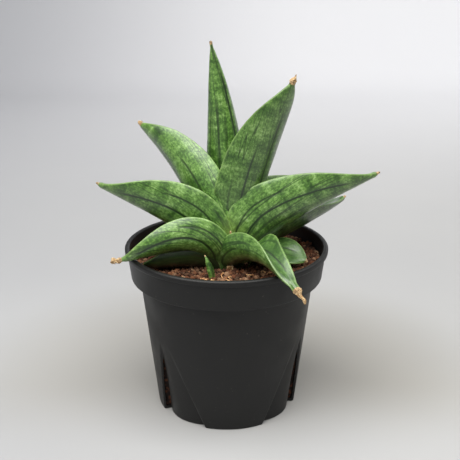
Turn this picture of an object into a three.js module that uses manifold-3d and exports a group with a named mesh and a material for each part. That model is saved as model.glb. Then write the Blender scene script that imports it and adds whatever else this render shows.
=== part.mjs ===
// A young snake plant with ten fleshy, folded leaves in a black nursery pot.
// Millimetres, +Z up. The origin is the middle of the pot's underside.
import * as THREE from 'three';
import { mergeVertices } from 'three/addons/utils/BufferGeometryUtils.js';
import Module from 'manifold-3d';

// ---------------------------------------------------------------- driving dimensions

const wasm = await Module();
wasm.setup();

// Pot: a tapered body, a nearly flat ledge, and a wider collar that ends in a rolled lip.
const POT_HEIGHT = 117.5;
const POT_BASE_RADIUS = 49.5;
const LIP_RADIUS = 70;
const LIP_OVERHANG = 1.8; // the lip stands this far out from the collar
const COLLAR_DEPTH = 20.5; // from the top down to the collar's foot
const COLLAR_TAPER = 2; // the collar's foot is this much narrower than its top
const LEDGE_RISE = 1.4; // from the neck up to the foot of the collar
const LEDGE_WIDTH = 5.9; // from the neck out to the foot of the collar
const LIP_DEPTH = 4.2; // height of the rolled lip below the top
const LIP_WIDTH = 3.4; // from the outside of the lip to the inside
const POT_WALL = 1.4;
const POT_FLOOR = 1.8;
const POT_SEGMENTS = 60;

// Foot: four bays are pressed inward, in mirrored pairs. The step down one side of a bay is left
// open as a drain slot, and its other side slopes back across it.
const BAY_COUNT = 4;
const BAY_FIRST_ANGLE = -38.7; // degrees round +Z from +X
const BAY_SLOT_ANGLE = 24; // from the bay's middle to its slotted side, at the foot
const BAY_SLOT_LEAN = 0.16; // degrees by which that side closes in, for each mm of height
const BAY_SLOPE_ANGLE = 20.5; // from the middle to its sloping side, at the foot
const BAY_SLOPE_TOP = 45; // height at which the sloping side crosses the middle
const BAY_HEIGHT = 58;
const BAY_DEPTH = 5.2; // along the slotted side, at the foot
const BAY_BULGE = 0.3; // share of that depth left along the middle
const BAY_SLOPE_SHARE = 0.7; // share of it along the sloping side
const SLOT_OVERLAP = 0.5; // how far a slot reaches past the step's two faces
const SLOT_BOTTOM = 2.4;
const SLOT_TOP = 44;
const NOTCH_TOP = 10; // the short opening at the foot of the sloping side

// Substrate: clay granules filled to a little below the lip.
const HEADSPACE = 9; // from the top of the lip down to the substrate
const GRANULE_RELIEF = 0.8; // how far the top rises and dips
const SUBSTRATE_SEGMENTS = 36;

// Rhizome: the thick underground stem that carries every leaf, with a runner to the sprout.
const CROWN_X = 2;
const CROWN_Y = -4;
const RHIZOME_RADIUS = 15;
const RHIZOME_LENGTH = 34;
const RHIZOME_COVER = 2.5; // the substrate lies this deep over it
const RUNNER_RADIUS = 3;
const SPROUT_X = -9;
const SPROUT_Y = -39;

const CLEARANCE = 0.35; // gap kept between neighbouring pieces
const LEAF_ROWS = 14;
const SMALL_ROWS = 8; // for the sprout and the sheath
const LEAF_HALF_COLUMNS = 4;

const COLLAR_TOP_RADIUS = LIP_RADIUS - LIP_OVERHANG;
const COLLAR_FOOT_RADIUS = COLLAR_TOP_RADIUS - COLLAR_TAPER;
const COLLAR_FOOT_HEIGHT = POT_HEIGHT - COLLAR_DEPTH;
const NECK_RADIUS = COLLAR_FOOT_RADIUS - LEDGE_WIDTH;
const NECK_HEIGHT = COLLAR_FOOT_HEIGHT - LEDGE_RISE;
const SUBSTRATE_TOP = POT_HEIGHT - HEADSPACE;
const LEAF_FOOT = SUBSTRATE_TOP - RHIZOME_COVER - 2; // every leaf starts at this height

// A point `inset` inside the lip (or, if negative, beyond it), in the direction `angle`, at a
// height over the substrate. The leaves that lie on the lip or reach it are placed this way.
function fromLip(angle, inset, height) {
  const turn = THREE.MathUtils.degToRad(angle);
  const radius = LIP_RADIUS - inset;
  return [radius * Math.cos(turn), radius * Math.sin(turn), height];
}

// Leaves, youngest first. Each one starts as an upright arc on a ring round the crown, and
// its spine then runs past `rise` and `bend` to `tip`. Those three points are measured from
// the middle of the substrate's top. `wrap` is how far the foot's arc reaches to each side
// of `azimuth` on a ring of radius `ring`. `span` is the full width of the blade laid flat,
// reached at the share `widest` of the length, and `taper` shapes the way down to the tip.
// `fold` is the angle that each half of the blade is folded up by, and `crease` says how
// much of that fold lies at the keel. `back` is where the keel faces at the tip, and `blunt`
// is half the width that the tip still has. A `lobe` widens one half, 1 or -1, at a share of the
// length, by so many millimetres, and fades over that share to each side.
const LEAVES = [
  {
    name: 'leaf_centre',
    azimuth: -95, ring: 4, wrap: 85,
    rise: [1.5, 4, 41.5], bend: [-0.4, 12, 91.5], tip: [-10.2, 10, 144.5],
    span: 37, widest: 0.35, taper: 1.25, fold: 58, crease: 1.6, thick: 6.5, blunt: 0.8,
    back: [0.1, -1, 0],
  },
  {
    name: 'leaf_upper_right',
    azimuth: -20, ring: 7, wrap: 80,
    rise: [13, -3, 27.5], bend: [26.5, -6, 73.5], tip: [42.5, -10, 122],
    span: 60, widest: 0.45, taper: 2.6, fold: 72, crease: 1.8, thick: 6, blunt: 2.3,
    back: [0.7, -0.7, 0],
  },
  {
    name: 'leaf_upper_left',
    azimuth: -175, ring: 10, wrap: 80,
    rise: [-10, -8, 23.5], bend: [-27.5, 2, 64], tip: [-59.5, 26, 88],
    span: 56, widest: 0.4, taper: 2.6, fold: 78, crease: 1.7, thick: 6, blunt: 1.6,
    back: [-0.6, -0.8, -0.7],
  },
  {
    name: 'leaf_right',
    azimuth: -5, ring: 13, wrap: 95,
    rise: [15, -8, 17.5], bend: [56, -8, 39.5], tip: [102, -4, 60.5],
    span: 76, widest: 0.38, taper: 1.6, fold: 80, crease: 3, thick: 6, blunt: 0.8,
    back: [0.2, -0.45, -0.9],
    lobe: [1, 0.45, 9, 0.24],
  },
  {
    name: 'leaf_left',
    azimuth: 180, ring: 16, wrap: 92,
    rise: [-14, -8, 21], bend: [-46, -10, 33.5], tip: [-86.5, -6, 54],
    span: 68, widest: 0.38, taper: 2, fold: 78, crease: 3, thick: 6, blunt: 0.8,
    back: [-0.1, -0.5, -0.9],
  },
  {
    name: 'leaf_lower_right',
    azimuth: 22, ring: 17, wrap: 72,
    rise: [24, 6, 11.5], bend: [52, 18, 15.5], tip: [85, 28, 34.5],
    span: 48, widest: 0.5, taper: 2.2, fold: 60, crease: 2, thick: 5.5, blunt: 0.8,
    back: [0.3, -0.1, -1],
  },
  {
    name: 'leaf_front_left',
    azimuth: -150, ring: 19, wrap: 66,
    rise: [-12, -22, 21.5], bend: fromLip(-138, 19, 19.5), tip: fromLip(-153, -8.6, 10),
    span: 50, widest: 0.35, taper: 1.5, fold: 72, crease: 2.4, thick: 6, blunt: 1.6,
    back: [-0.1, -0.6, -0.8],
  },
  {
    name: 'leaf_front',
    azimuth: -85, ring: 16, wrap: 38,
    rise: [-2, -30, 15], bend: fromLip(-58, 21, 22), tip: fromLip(-60.5, -17.5, 5),
    span: 34, widest: 0.4, taper: 1.7, fold: 84, crease: 2, thick: 5.5, blunt: 2.2,
    back: [0.5, -0.45, -0.8],
    lobe: [1, 0.52, 9, 0.16],
  },
  {
    name: 'leaf_low_left',
    azimuth: -140, ring: 20, wrap: 34,
    rise: [-14, -22, 7.5], bend: fromLip(-141.7, 21.6, 3.5), tip: fromLip(-153.4, 5.2, 4.5),
    span: 30, widest: 0.4, taper: 2, fold: 60, crease: 2, thick: 4.5, blunt: 0.6,
    back: [-0.2, -0.6, -0.9],
  },
  {
    name: 'leaf_low_right',
    azimuth: -25, ring: 19, wrap: 26,
    rise: [22, -12, 7.5], bend: fromLip(-21.8, 27, 10.5), tip: fromLip(-22.2, 11.7, 3.5),
    span: 28, widest: 0.5, taper: 2.4, fold: 30, crease: 1.5, thick: 4, blunt: 0.8,
    back: [0.3, 0.3, -0.9],
  },
];

// The sprout is built the same way, from its own small ring at the end of the runner.
const SPROUT = {
  name: 'sprout',
  azimuth: -60, ring: 1.6, wrap: 70,
  rise: [-9, -40, 3], bend: [-11, -40, 9], tip: [-14, -38, 14],
  span: 5.5, widest: 0.4, taper: 1.7, fold: 60, crease: 1.2, thick: 1.6, blunt: 0.6,
  back: [0.5, -0.8, 0],
};

// The papery remains of the first sheath stand in front of the crown.
const SHEATH = {
  name: 'dry_sheath',
  azimuth: -90, ring: 22, wrap: 7,
  rise: [3, -27, 9], bend: [4, -25, 18], tip: [2.5, -24.5, 26],
  span: 4, widest: 0.3, taper: 1.5, fold: 30, crease: 1, thick: 1.2, blunt: 0.6,
  back: [0, -1, 0.2],
};

const GREEN = [0x4f8a34, 0x4a7f35, 0x55903a, 0x568f3c, 0x4b8236];

// ---------------------------------------------------------------- solids and booleans

const radians = THREE.MathUtils.degToRad;
const { lerp } = THREE.MathUtils;

// A closed three.js geometry becomes a solid that can be cut.
function solidOf(geometry) {
  const bare = geometry.clone();
  bare.deleteAttribute('normal');
  bare.deleteAttribute('uv');
  const merged = mergeVertices(bare, 1e-4);
  const index = merged.index.array;
  const triangles = [];
  for (let i = 0; i < index.length; i += 3) {
    const [a, b, c] = [index[i], index[i + 1], index[i + 2]];
    if (a !== b && b !== c && c !== a) {
      triangles.push(a, b, c);
    }
  }
  return solid(Array.from(merged.attributes.position.array), triangles);
}

function signedVolume(points, triangles) {
  const [a, b, c] = [new THREE.Vector3(), new THREE.Vector3(), new THREE.Vector3()];
  let sum = 0;
  for (let i = 0; i < triangles.length; i += 3) {
    a.fromArray(points, 3 * triangles[i]);
    b.fromArray(points, 3 * triangles[i + 1]);
    c.fromArray(points, 3 * triangles[i + 2]);
    sum += a.dot(b.cross(c));
  }
  return sum;
}

function solid(points, triangles) {
  const facing = signedVolume(points, triangles) > 0 ? triangles : triangles.slice().reverse();
  const mesh = new wasm.Mesh({
    numProp: 3,
    vertProperties: new Float32Array(points),
    triVerts: new Uint32Array(facing),
  });
  return new wasm.Manifold(mesh);
}

function geometryOf(manifold) {
  const mesh = manifold.getMesh();
  const geometry = new THREE.BufferGeometry();
  geometry.setAttribute('position', new THREE.BufferAttribute(mesh.vertProperties, 3));
  geometry.setIndex(new THREE.BufferAttribute(mesh.triVerts, 1));
  geometry.computeVertexNormals();
  return geometry;
}

// What is left of a piece after its neighbours are cut away is its largest body.
function largestBody(manifold) {
  const bodies = manifold.decompose();
  return bodies.reduce((best, body) => (body.volume() > best.volume() ? body : best));
}

// Two sheets of points with the same rows and columns, joined round their edges.
function closeSheets(outer, inner) {
  const rows = outer.length;
  const columns = outer[0].length;
  const points = [];
  for (const sheet of [outer, inner]) {
    for (const row of sheet) {
      row.forEach((point) => points.push(point.x, point.y, point.z));
    }
  }
  const top = (i, j) => i * columns + j;
  const under = (i, j) => (rows + i) * columns + j;
  const triangles = [];
  const quad = (a, b, c, d) => triangles.push(a, b, c, a, c, d);
  for (let i = 0; i < rows - 1; i += 1) {
    for (let j = 0; j < columns - 1; j += 1) {
      quad(top(i, j), top(i, j + 1), top(i + 1, j + 1), top(i + 1, j));
      quad(under(i, j), under(i + 1, j), under(i + 1, j + 1), under(i, j + 1));
    }
    const last = columns - 1;
    quad(top(i, 0), top(i + 1, 0), under(i + 1, 0), under(i, 0));
    quad(top(i, last), under(i, last), under(i + 1, last), top(i + 1, last));
  }
  for (let j = 0; j < columns - 1; j += 1) {
    const last = rows - 1;
    quad(top(0, j), under(0, j), under(0, j + 1), top(0, j + 1));
    quad(top(last, j), top(last, j + 1), under(last, j + 1), under(last, j));
  }
  return solid(points, triangles);
}

// A body of revolution round +Z from [radius, height] points.
function turned(profile, segments) {
  const points = profile.map(([radius, height]) => new THREE.Vector2(radius, height));
  return new THREE.LatheGeometry(points, segments).rotateX(Math.PI / 2);
}

// ---------------------------------------------------------------- leaves

function bezier(points, u) {
  const v = 1 - u;
  const weights = [v * v * v, 3 * v * v * u, 3 * v * u * u, u * u * u];
  const sum = new THREE.Vector3();
  points.forEach((point, k) => sum.addScaledVector(point, weights[k]));
  return sum;
}

function bezierTangent(points, u) {
  const v = 1 - u;
  const weights = [v * v, 2 * v * u, u * u];
  const sum = new THREE.Vector3();
  weights.forEach((weight, k) => {
    sum.addScaledVector(points[k + 1], weight).addScaledVector(points[k], -weight);
  });
  return sum.normalize();
}

// Half the width of the flat blade: from the foot's arc out to half the span, then to the tip.
function halfWidth(leaf, u) {
  const foot = leaf.ring * radians(leaf.wrap);
  if (u < leaf.widest) {
    return lerp(foot, leaf.span / 2, THREE.MathUtils.smoothstep(u, 0, leaf.widest));
  }
  const rest = (u - leaf.widest) / (1 - leaf.widest);
  return Math.max(leaf.blunt, (leaf.span / 2) * (1 - rest ** leaf.taper));
}

function lobeWidth(leaf, u, half) {
  const [side, place, extra, spread] = leaf.lobe ?? [0, 0, 0, 1];
  return half === side ? extra * Math.exp(-(((u - place) / spread) ** 2)) : 0;
}

// One half of the folded section, from the keel at 0 to the margin: where it lies across
// and along the keel's direction, and how far it has turned.
function foldedHalf(half, fold, crease, columns) {
  const STEPS = 8; // small steps between two columns
  const turn = (s) => fold * (1 - (1 - s) ** crease);
  const stations = [{ across: 0, drop: 0, turn: 0 }];
  let across = 0;
  let drop = 0;
  for (let k = 1; k <= columns * STEPS; k += 1) {
    const middle = turn((k - 0.5) / (columns * STEPS));
    across += (Math.cos(middle) * half) / (columns * STEPS);
    drop += (Math.sin(middle) * half) / (columns * STEPS);
    if (k % STEPS === 0) {
      stations.push({ across, drop, turn: turn(k / (columns * STEPS)) });
    }
  }
  return stations;
}

// The blade as a closed body. `grow` makes it larger all round, to cut room in a neighbour.
function blade(leaf, centre, grow, rows = LEAF_ROWS) {
  const out = new THREE.Vector3(1, 0, 0).applyAxisAngle(
    new THREE.Vector3(0, 0, 1),
    radians(leaf.azimuth),
  );
  const foot = centre.clone().addScaledVector(out, leaf.ring);
  const place = ([x, y, z]) => new THREE.Vector3(x, y, SUBSTRATE_TOP + z);
  const spine = [foot, place(leaf.rise), place(leaf.bend), place(leaf.tip)];
  const back = new THREE.Vector3(...leaf.back).normalize();
  const outer = [];
  const inner = [];
  for (let i = 0; i <= rows; i += 1) {
    const u = i / rows;
    const along = bezierTangent(spine, u);
    const keel = out.clone().multiplyScalar(1 - u).addScaledVector(back, u);
    keel.addScaledVector(along, -keel.dot(along)).normalize();
    const side = new THREE.Vector3().crossVectors(along, keel);
    const point = bezier(spine, u);
    if (i === 0) {
      point.addScaledVector(along, -grow);
    }
    if (i === rows) {
      point.addScaledVector(along, grow);
    }
    const half = halfWidth(leaf, u) + grow;
    const open = 1 - u ** 6; // the fold opens out into a round point at the tip
    const fold = radians(lerp(leaf.wrap, leaf.fold, Math.min(1, 2 * u))) * open;
    const crease = 1 + (leaf.crease - 1) * Math.min(1, 2.5 * u) * open;
    const fleshy = leaf.thick * (0.6 + 0.4 * Math.sin(Math.PI * u));
    const thick = Math.min(fleshy, 1.6 * half + 0.3);
    const halves = [-1, 1].map((side) => (
      foldedHalf(half + lobeWidth(leaf, u, side), fold, crease, LEAF_HALF_COLUMNS)
    ));
    const outerRow = [];
    const innerRow = [];
    for (let j = -LEAF_HALF_COLUMNS; j <= LEAF_HALF_COLUMNS; j += 1) {
      const sign = Math.sign(j);
      const station = halves[j < 0 ? 0 : 1][Math.abs(j)];
      const share = Math.abs(j) / LEAF_HALF_COLUMNS;
      const reach = (thick / 2) * (1 - 0.72 * share ** 3) + grow;
      const middle = point.clone()
        .addScaledVector(side, sign * station.across)
        .addScaledVector(keel, -station.drop);
      const facing = side.clone()
        .multiplyScalar(sign * Math.sin(station.turn))
        .addScaledVector(keel, Math.cos(station.turn));
      outerRow.push(middle.clone().addScaledVector(facing, reach));
      innerRow.push(middle.clone().addScaledVector(facing, -reach));
    }
    outer.push(outerRow);
    inner.push(innerRow);
  }
  return closeSheets(outer, inner);
}

// ---------------------------------------------------------------- pot

// The outside of the pot from the middle of its underside up to the lip.
function outsideProfile() {
  return [
    [0, 0],
    [POT_BASE_RADIUS - 0.8, 0],
    [POT_BASE_RADIUS, 0.8],
    [NECK_RADIUS, NECK_HEIGHT],
    [COLLAR_FOOT_RADIUS - 0.9, NECK_HEIGHT + 0.2 * LEDGE_RISE],
    [COLLAR_FOOT_RADIUS, COLLAR_FOOT_HEIGHT],
    [COLLAR_TOP_RADIUS, POT_HEIGHT - LIP_DEPTH],
    [LIP_RADIUS - 0.3, POT_HEIGHT - LIP_DEPTH + 0.9],
    [LIP_RADIUS, POT_HEIGHT - 1.8],
    [LIP_RADIUS - 0.9, POT_HEIGHT],
    [LIP_RADIUS - LIP_WIDTH + 0.6, POT_HEIGHT],
    [LIP_RADIUS - LIP_WIDTH, POT_HEIGHT - 1],
  ];
}

// The inside, from the lip down to the middle of the floor, `gap` clear of the wall.
function insideProfile(gap) {
  const inset = POT_WALL + gap;
  const ledge = NECK_HEIGHT + inset;
  return [
    [COLLAR_TOP_RADIUS - inset, POT_HEIGHT - LIP_DEPTH],
    [COLLAR_FOOT_RADIUS - inset, ledge + LEDGE_RISE],
    [COLLAR_FOOT_RADIUS - inset - 1, ledge + 0.2 * LEDGE_RISE],
    [NECK_RADIUS - inset, ledge],
    [wallRadius(POT_FLOOR) - inset, POT_FLOOR + gap],
    [0, POT_FLOOR + gap],
  ];
}

// Radius of the tapered body's outside at a height.
function wallRadius(height) {
  return lerp(POT_BASE_RADIUS, NECK_RADIUS, height / NECK_HEIGHT);
}

// The bays: the angle of each middle, and the hand of its slotted side.
function allBays() {
  return Array.from({ length: BAY_COUNT }, (_, k) => ({
    angle: BAY_FIRST_ANGLE + (k * 360) / BAY_COUNT,
    hand: k % 2 === 0 ? 1 : -1,
  }));
}

// Degrees from a bay's middle to its slotted side (toward 1) or its sloping side (toward -1).
function bayReach(height, toward) {
  if (toward > 0) {
    return BAY_SLOT_ANGLE - BAY_SLOT_LEAN * height;
  }
  return BAY_SLOPE_ANGLE * (1 - height / BAY_SLOPE_TOP);
}

// How far a bay is pressed in at a height. `across` runs from -1 on the sloping side to 1 on the
// slotted side; the floor of the bay bulges out along its middle.
function bayDepth(height, across) {
  const share = Math.max(0, height / BAY_HEIGHT);
  const rim = across > 0 ? 1 : BAY_SLOPE_SHARE * (1 - share / 2);
  return BAY_DEPTH * (1 - share ** 2) * (BAY_BULGE + (rim - BAY_BULGE) * across ** 2);
}

// The room a bay takes out of the wall, set inward by `inset`.
function bayBody(bay, inset) {
  const ROWS = 9;
  const COLUMNS = 6;
  const floorSheet = [];
  const outerSheet = [];
  for (let i = 0; i <= ROWS; i += 1) {
    const height = lerp(-1, BAY_HEIGHT, i / ROWS);
    const spare = inset / wallRadius(height);
    const low = -radians(bayReach(height, -bay.hand)) - spare;
    const high = radians(bayReach(height, bay.hand)) + spare;
    const floorRow = [];
    const outerRow = [];
    for (let j = 0; j <= COLUMNS; j += 1) {
      const turn = radians(bay.angle) + lerp(low, high, j / COLUMNS);
      const across = bay.hand * lerp(-1, 1, j / COLUMNS);
      const depth = bayDepth(height, across) + 0.02;
      const at = (radius) => new THREE.Vector3(
        radius * Math.cos(turn),
        radius * Math.sin(turn),
        height,
      );
      floorRow.push(at(wallRadius(height) - depth - inset));
      outerRow.push(at(wallRadius(height) + 4));
    }
    floorSheet.push(floorRow);
    outerSheet.push(outerRow);
  }
  return closeSheets(outerSheet, floorSheet);
}

// A drain slot: it opens the step down one side of a bay, between the bay's floor and the
// inside of the wall, so that it narrows upward as the bay grows shallow.
function slotBody(bay, toward, top) {
  const ROWS = 8;
  const outerSheet = [];
  const innerSheet = [];
  for (let i = 0; i <= ROWS; i += 1) {
    const height = lerp(SLOT_BOTTOM, top, i / ROWS);
    const radius = wallRadius(height);
    const edge = radians(bayReach(height, toward));
    const near = edge - SLOT_OVERLAP / radius;
    const far = edge + (POT_WALL + SLOT_OVERLAP) / radius;
    const turns = [near, far].map((turn) => radians(bay.angle) + bay.hand * toward * turn);
    turns.sort((one, other) => one - other);
    const row = (reach) => turns.map((turn) => (
      new THREE.Vector3(reach * Math.cos(turn), reach * Math.sin(turn), height)
    ));
    outerSheet.push(row(radius - 0.9 * POT_WALL));
    const low = radius - bayDepth(height, toward) + 0.2;
    innerSheet.push(row(Math.min(radius - 1.1 * POT_WALL, low)));
  }
  return closeSheets(outerSheet, innerSheet);
}

function makePot() {
  let outside = solidOf(turned([...outsideProfile(), [0, POT_HEIGHT - 1]], POT_SEGMENTS));
  const cavity = [[0, POT_HEIGHT + 1], [LIP_RADIUS - LIP_WIDTH, POT_HEIGHT + 1]];
  let inside = solidOf(turned(
    [...cavity, [LIP_RADIUS - LIP_WIDTH, POT_HEIGHT - 1], ...insideProfile(0)],
    POT_SEGMENTS,
  ));
  for (const bay of allBays()) {
    outside = outside.subtract(bayBody(bay, 0));
    inside = inside.subtract(bayBody(bay, POT_WALL));
  }
  let pot = outside.subtract(inside);
  for (const bay of allBays()) {
    pot = pot.subtract(slotBody(bay, 1, SLOT_TOP));
    pot = pot.subtract(slotBody(bay, -1, NOTCH_TOP));
  }
  return pot;
}

// The lip with a clearance all round, to keep the leaves that lie over it off the plastic.
function lipRoom() {
  const room = CLEARANCE;
  return solidOf(turned([
    [LIP_RADIUS + room, POT_HEIGHT - LIP_DEPTH - 4],
    [LIP_RADIUS + room, POT_HEIGHT - 1.8],
    [LIP_RADIUS - 0.9 + room, POT_HEIGHT + room],
    [LIP_RADIUS - LIP_WIDTH + 0.6 - room, POT_HEIGHT + room],
    [LIP_RADIUS - LIP_WIDTH - room, POT_HEIGHT - 1],
    [LIP_RADIUS - LIP_WIDTH - room, POT_HEIGHT - LIP_DEPTH - 4],
    [LIP_RADIUS + room, POT_HEIGHT - LIP_DEPTH - 4],
  ], POT_SEGMENTS));
}

// ---------------------------------------------------------------- rhizome and substrate

function makeRhizome(grow) {
  const top = SUBSTRATE_TOP - RHIZOME_COVER;
  const radius = RHIZOME_RADIUS + grow;
  const body = turned([
    [0, top - RHIZOME_LENGTH - grow],
    [0.45 * radius, top - 0.95 * RHIZOME_LENGTH - grow],
    [0.85 * radius, top - 0.6 * RHIZOME_LENGTH],
    [radius, top - 0.3 * RHIZOME_LENGTH],
    [0.95 * radius, top - 3],
    [0.8 * radius, top + grow],
    [0, top + grow],
  ], 16).translate(CROWN_X, CROWN_Y, 0);
  const end = top - 1;
  const path = new THREE.CatmullRomCurve3([
    new THREE.Vector3(CROWN_X, CROWN_Y, top - 0.4 * RHIZOME_LENGTH),
    new THREE.Vector3(lerp(CROWN_X, SPROUT_X, 0.6), lerp(CROWN_Y, SPROUT_Y, 0.6), end - 11),
    new THREE.Vector3(SPROUT_X, SPROUT_Y, end - 8),
    new THREE.Vector3(SPROUT_X, SPROUT_Y, end + grow),
  ]);
  const section = new THREE.Shape();
  section.absarc(0, 0, RUNNER_RADIUS + grow, 0, 2 * Math.PI);
  const runner = new THREE.ExtrudeGeometry(section, {
    extrudePath: path,
    steps: 9,
    curveSegments: 4,
  });
  return solidOf(body).add(solidOf(runner));
}

// A gentle, repeatable unevenness for the top of the granules.
function relief(x, y) {
  const long = Math.sin(x / 3.1 + 1.3) * Math.cos(y / 3.7 - 0.6);
  const short = Math.sin(x / 1.7 - y / 2.3) * Math.cos(x / 2.9 + y / 1.9);
  return GRANULE_RELIEF * (0.6 * long + 0.4 * short);
}

function makeSubstrate() {
  const profile = insideProfile(CLEARANCE).reverse();
  const share = (SUBSTRATE_TOP - profile[4][1]) / (profile[5][1] - profile[4][1]);
  const rim = lerp(profile[4][0], profile[5][0], share);
  const RINGS = 7;
  const wall = [...profile.slice(0, 5), [rim, SUBSTRATE_TOP]];
  const top = Array.from({ length: RINGS }, (_, k) => [
    (rim * (RINGS - 1 - k)) / RINGS + (k < RINGS - 1 ? rim / RINGS / 2 : 0),
    SUBSTRATE_TOP,
  ]);
  top[RINGS - 1][0] = 0;
  const geometry = turned([...wall, ...top], SUBSTRATE_SEGMENTS);
  const position = geometry.attributes.position;
  for (let i = 0; i < position.count; i += 1) {
    const [x, y, z] = [position.getX(i), position.getY(i), position.getZ(i)];
    const radius = Math.hypot(x, y);
    if (z > SUBSTRATE_TOP - 0.01 && radius < rim - 0.01) {
      position.setZ(i, z + relief(x, y));
    }
  }
  let body = solidOf(geometry);
  for (const bay of allBays()) {
    body = body.subtract(bayBody(bay, POT_WALL + CLEARANCE));
  }
  return body;
}

// ---------------------------------------------------------------- assembly

const plant = new THREE.Group();

function addPiece(name, manifold, color, roughness) {
  const material = new THREE.MeshStandardMaterial({ color, roughness, metalness: 0 });
  const mesh = new THREE.Mesh(geometryOf(manifold), material);
  mesh.name = name;
  plant.add(mesh);
}

addPiece('pot', makePot(), 0x2b2b2a, 0.55);

// Each older leaf clasps the younger ones, so it is cut to clear them.
const crown = new THREE.Vector3(CROWN_X, CROWN_Y, LEAF_FOOT);
let taken = lipRoom();
LEAVES.forEach((leaf, k) => {
  const body = largestBody(blade(leaf, crown, 0).subtract(taken));
  addPiece(leaf.name, body, GREEN[k % GREEN.length], 0.42);
  taken = taken.add(blade(leaf, crown, CLEARANCE));
});

const sheath = largestBody(blade(SHEATH, crown, 0, SMALL_ROWS).subtract(taken));
addPiece(SHEATH.name, sheath, 0x8a5a30, 0.8);
taken = taken.add(blade(SHEATH, crown, CLEARANCE, SMALL_ROWS));

const sproutFoot = new THREE.Vector3(SPROUT_X, SPROUT_Y, LEAF_FOOT);
const sprout = largestBody(blade(SPROUT, sproutFoot, 0, SMALL_ROWS).subtract(taken));
addPiece(SPROUT.name, sprout, 0x6d9a3a, 0.5);
taken = taken.add(blade(SPROUT, sproutFoot, CLEARANCE, SMALL_ROWS));

addPiece('rhizome', largestBody(makeRhizome(0).subtract(taken)), 0xb08a55, 0.75);
taken = taken.add(makeRhizome(CLEARANCE));

addPiece('substrate', largestBody(makeSubstrate().subtract(taken)), 0x6f3f28, 0.95);

export default plant;
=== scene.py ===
"""Looks for the potted snake plant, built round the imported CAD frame.

The leaves, the pot and the clay granules are rebuilt here at full detail, each in the place of its
CAD node. Sizes are in millimetres and are turned into metres when a mesh is made; only the
stage, the lights and the camera are given in metres.
"""

import math

import bmesh
import bpy
import numpy as np
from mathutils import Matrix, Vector, noise


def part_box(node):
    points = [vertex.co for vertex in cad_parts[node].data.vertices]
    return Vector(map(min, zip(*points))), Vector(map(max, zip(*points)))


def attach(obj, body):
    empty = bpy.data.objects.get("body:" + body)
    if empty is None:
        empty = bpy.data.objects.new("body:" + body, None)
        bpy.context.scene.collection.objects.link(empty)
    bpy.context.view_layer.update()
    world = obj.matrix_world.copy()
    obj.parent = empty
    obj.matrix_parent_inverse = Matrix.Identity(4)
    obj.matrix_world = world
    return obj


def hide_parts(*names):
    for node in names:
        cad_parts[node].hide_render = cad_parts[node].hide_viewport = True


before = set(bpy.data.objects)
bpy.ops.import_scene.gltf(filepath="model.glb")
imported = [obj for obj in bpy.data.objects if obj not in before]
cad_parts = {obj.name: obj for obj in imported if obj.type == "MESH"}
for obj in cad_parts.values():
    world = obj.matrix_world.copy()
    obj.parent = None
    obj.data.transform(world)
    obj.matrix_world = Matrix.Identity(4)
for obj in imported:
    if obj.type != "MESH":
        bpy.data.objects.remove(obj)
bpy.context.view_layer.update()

MM = 0.001
BODY = "root"

# ---------------------------------------------------------------- sizes, in millimetres

POT_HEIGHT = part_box("pot")[1].z / MM
LIP_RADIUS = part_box("pot")[1].x / MM
POT_BASE_RADIUS = 49.5
LIP_OVERHANG = 1.8
COLLAR_DEPTH = 20.5
COLLAR_TAPER = 2
LEDGE_RISE = 1.4
LEDGE_WIDTH = 5.9
LIP_DEPTH = 4.2
LIP_WIDTH = 3.4
POT_WALL = 1.4
POT_FLOOR = 1.8

BAY_COUNT = 4
BAY_FIRST_ANGLE = -38.7
BAY_SLOT_ANGLE = 24  # degrees from a bay's middle to its slotted side, at the pot's foot
BAY_SLOT_LEAN = 0.16  # degrees by which that side draws in for each millimetre of height
BAY_SLOPE_ANGLE = 20.5  # degrees from the middle to the sloping side, at the pot's foot
BAY_SLOPE_TOP = 45  # height at which the sloping side reaches the middle
BAY_HEIGHT = 58
BAY_DEPTH = 5.2
BAY_BULGE = 0.3  # share of the depth along the middle, where the bay's floor bulges out
BAY_SLOPE_SHARE = 0.7  # share of the depth at the foot of the sloping side
SLOT_OVERLAP = 0.5
SLOT_BOTTOM = 2.4
SLOT_TOP = 44
NOTCH_TOP = 10

HEADSPACE = 9
RHIZOME_COVER = 2.5
CROWN = (2, -4)
SPROUT_PLACE = (-9, -39)

COLLAR_TOP_RADIUS = LIP_RADIUS - LIP_OVERHANG
COLLAR_FOOT_RADIUS = COLLAR_TOP_RADIUS - COLLAR_TAPER
COLLAR_FOOT_HEIGHT = POT_HEIGHT - COLLAR_DEPTH
NECK_RADIUS = COLLAR_FOOT_RADIUS - LEDGE_WIDTH
NECK_HEIGHT = COLLAR_FOOT_HEIGHT - LEDGE_RISE
SUBSTRATE_TOP = POT_HEIGHT - HEADSPACE
LEAF_FOOT = SUBSTRATE_TOP - RHIZOME_COVER - 2

# ---------------------------------------------------------------- leaves


def from_lip(angle, inset, height):
    """A point inside the lip by `inset`, or beyond it where that is negative."""
    turn = math.radians(angle)
    radius = LIP_RADIUS - inset
    return (radius * math.cos(turn), radius * math.sin(turn), height)


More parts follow.
